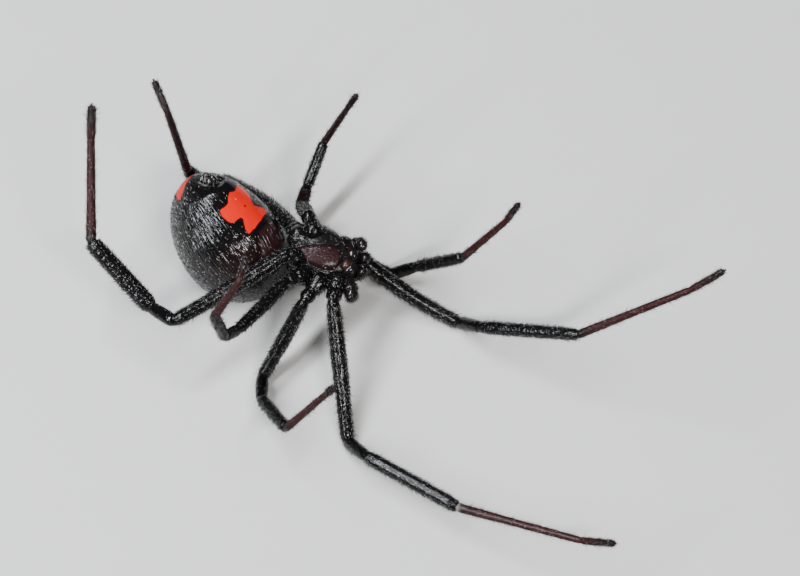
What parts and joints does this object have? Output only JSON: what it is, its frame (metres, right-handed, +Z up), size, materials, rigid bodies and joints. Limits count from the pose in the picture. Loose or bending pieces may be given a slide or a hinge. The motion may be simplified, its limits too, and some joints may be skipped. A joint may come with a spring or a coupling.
{
  "type": "black widow spider, still life-size model",
  "caption": "Glossy black widow spider resting on its back, belly mark up, long jointed legs spread; a still life-size model.",
  "frame": {"origin": "on the floor, below the middle of the whole spider's box", "axes": "+X along the spread of the front legs, from the abdomen towards the head; +Y towards the spider's right side; +Z up, out of the belly"},
  "size_m": [0.0314, 0.024, 0.011],
  "materials": {
    "black_cuticle": "glossy black with short fine hair",
    "brown_cuticle": "glossy dark maroon-brown, finely wrinkled",
    "red_brown_cuticle": "satin dark red-brown",
    "pale_cuticle": "satin orange-brown, soft",
    "red_mark": "glossy orange-red",
    "setae": "stiff dark and pale hairs",
    "eye": "polished dark"
  },
  "bodies": {
    "root": {"prosoma": "brown_cuticle", "abdomen": "black_cuticle", "pedicel": "brown_cuticle", "mouthparts": "pale_cuticle", "spinnerets": "pale_cuticle", "chelicera_L": "black_cuticle", "palp_L": "black_cuticle", "chelicera_R": "black_cuticle", "palp_R": "black_cuticle", "eye_front_middle_L": "eye", "eye_front_middle_R": "eye", "eye_front_side_L": "eye", "eye_front_side_R": "eye", "eye_rear_middle_L": "eye", "eye_rear_middle_R": "eye", "eye_rear_side_L": "eye", "eye_rear_side_R": "eye", "leg_L1_coxa": "brown_cuticle", "leg_L1_femur": "black_cuticle", "leg_L1_patella": "black_cuticle", "leg_L1_tibia": "black_cuticle", "leg_L1_metatarsus": "red_brown_cuticle", "leg_L2_coxa": "brown_cuticle", "leg_L2_femur": "black_cuticle", "leg_L2_patella": "black_cuticle", "leg_L2_tibia": "black_cuticle", "leg_L2_metatarsus": "red_brown_cuticle", "leg_L3_coxa": "brown_cuticle", "leg_L3_femur": "black_cuticle", "leg_L3_patella": "black_cuticle", "leg_L3_tibia": "black_cuticle", "leg_L3_metatarsus": "red_brown_cuticle", "leg_L4_coxa": "brown_cuticle", "leg_L4_femur": "black_cuticle", "leg_L4_patella": "black_cuticle", "leg_L4_tibia": "black_cuticle", "leg_L4_metatarsus": "red_brown_cuticle", "leg_R1_coxa": "brown_cuticle", "leg_R1_femur": "black_cuticle", "leg_R1_patella": "black_cuticle", "leg_R1_tibia": "black_cuticle", "leg_R1_metatarsus": "red_brown_cuticle", "leg_R2_coxa": "brown_cuticle", "leg_R2_femur": "black_cuticle", "leg_R2_patella": "black_cuticle", "leg_R2_tibia": "black_cuticle", "leg_R2_metatarsus": "red_brown_cuticle", "leg_R3_coxa": "brown_cuticle", "leg_R3_femur": "black_cuticle", "leg_R3_patella": "black_cuticle", "leg_R3_tibia": "black_cuticle", "leg_R3_metatarsus": "red_brown_cuticle", "leg_R4_coxa": "brown_cuticle", "leg_R4_femur": "black_cuticle", "leg_R4_patella": "black_cuticle", "leg_R4_tibia": "black_cuticle", "leg_R4_metatarsus": "red_brown_cuticle"}
  },
  "joints": []
}
